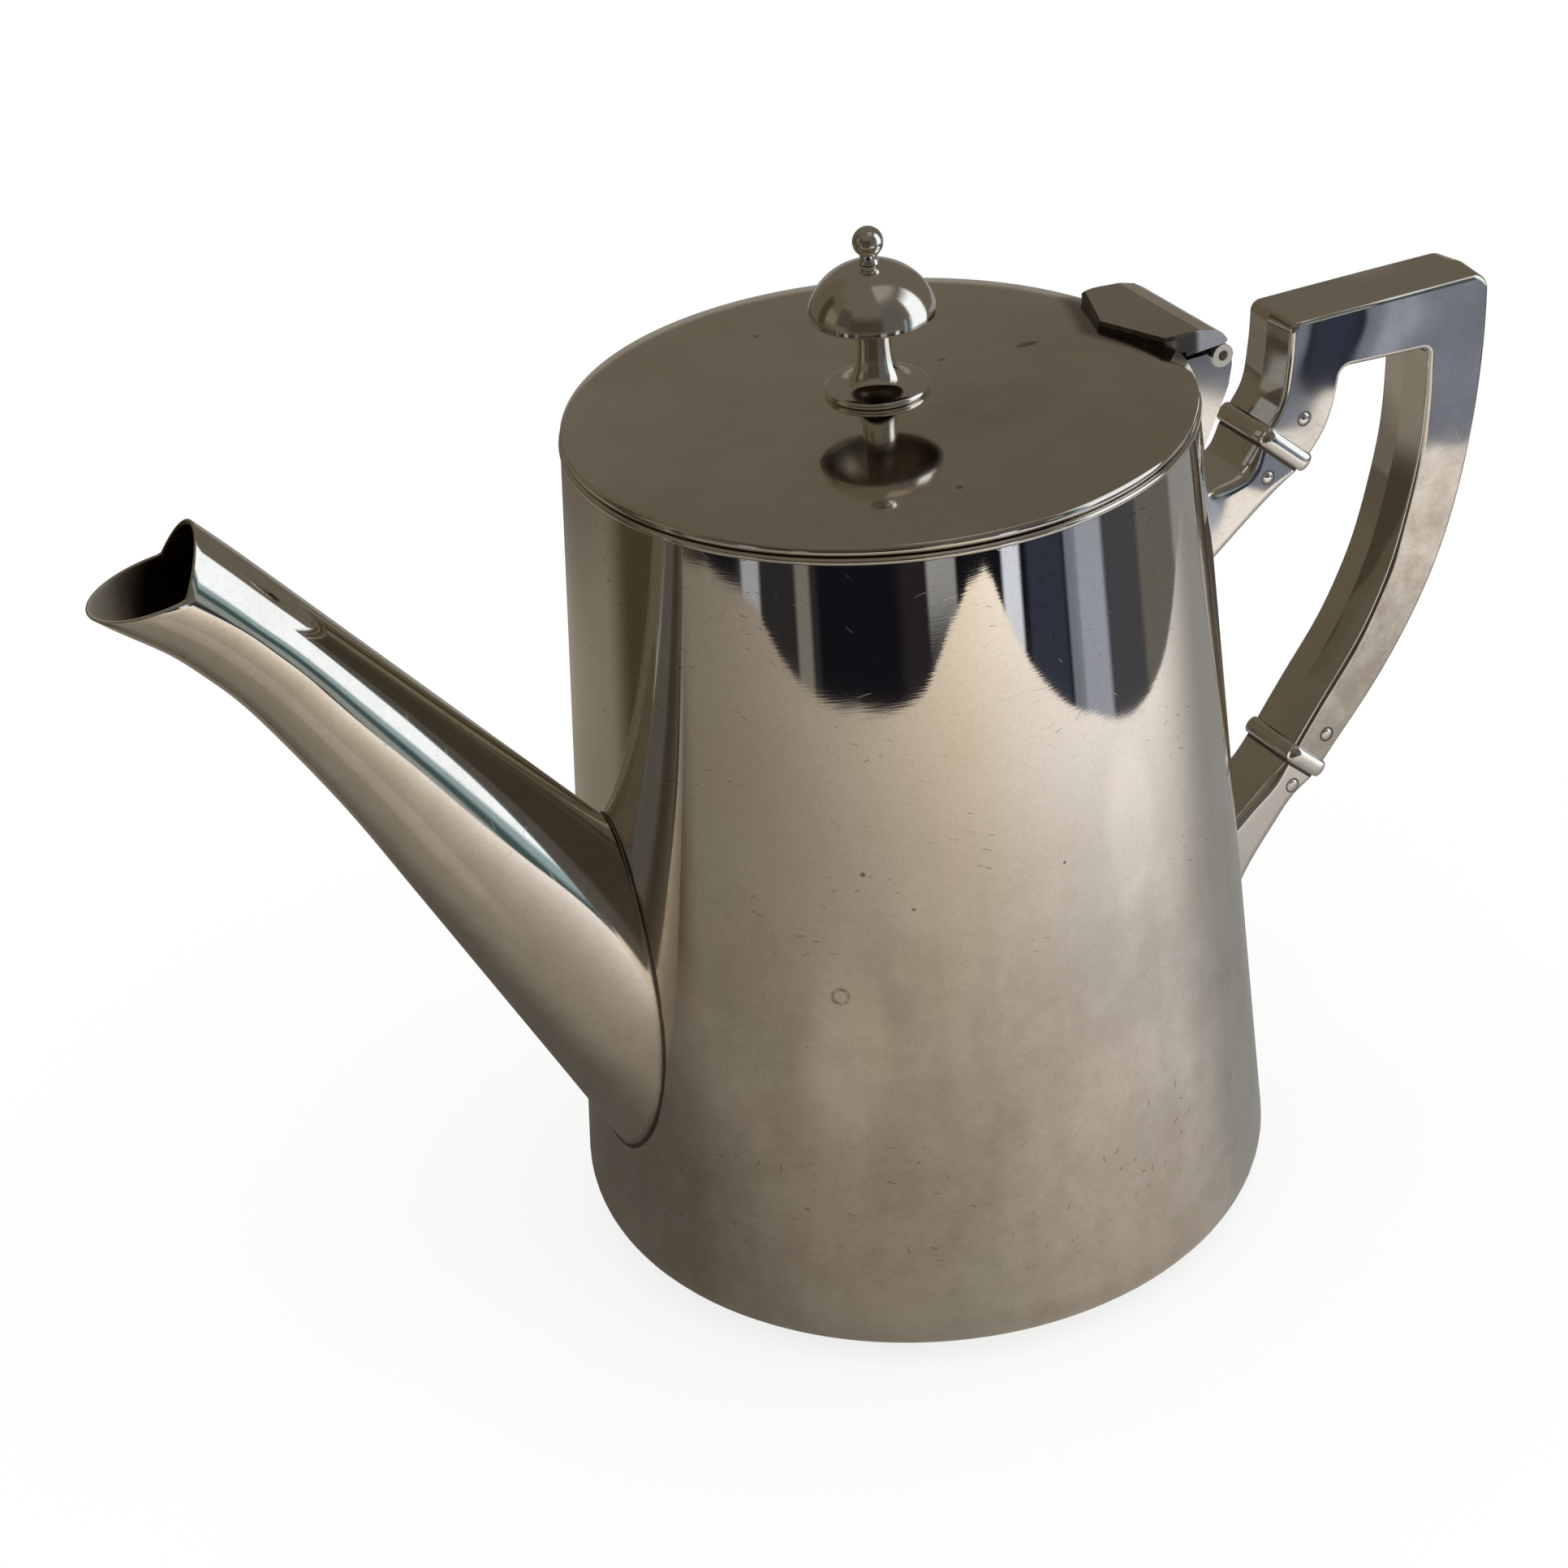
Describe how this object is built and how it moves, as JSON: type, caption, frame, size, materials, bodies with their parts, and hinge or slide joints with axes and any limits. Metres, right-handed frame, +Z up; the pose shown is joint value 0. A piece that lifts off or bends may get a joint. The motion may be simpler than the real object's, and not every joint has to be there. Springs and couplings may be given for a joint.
{
  "type": "coffee pot",
  "caption": "Tapered round silver coffee pot with a long straight beaked spout, a hinged flat lid with a domed finial, and a squared loop handle on insulated joints.",
  "frame": {"origin": "centre of the foot ring, on the surface that the pot stands on", "axes": "+Z up along the axis of the round body, -X towards the spout, +X towards the handle, +Y across"},
  "size_m": [0.2317, 0.11, 0.1646],
  "materials": {
    "silver": "polished silver plate with fine wear scratches and slight tarnish",
    "insulator": "dark vulcanised fibre",
    "fixings": "plain turned brass",
    "pin_steel": "drawn wire"
  },
  "bodies": {
    "pot": {"body_shell": "silver", "base_plate": "silver", "mouth_wire": "silver", "spout": "silver", "hinge_bracket": "silver", "hinge_pin": "pin_steel", "upper_socket": "silver", "upper_insulator": "insulator", "upper_collar": "silver", "upper_pins": "silver", "lower_socket": "silver", "lower_insulator": "insulator", "lower_collar": "silver", "lower_pins": "silver", "handle": "silver"},
    "lid": {"lid_plate": "silver", "lid_bezel": "silver", "lid_hinge_leaf": "silver", "finial_stem": "silver", "finial_dome": "silver", "finial_ball": "silver", "finial_stud": "fixings", "finial_washer": "fixings", "finial_nut": "fixings"}
  },
  "joints": [
    {"name": "lid_hinge", "type": "hinge", "parent": "pot", "child": "lid", "pos_m": [0.0539, 0, 0.1334], "axis": [0, 1, 0], "range_deg": [0, 100]}
  ]
}
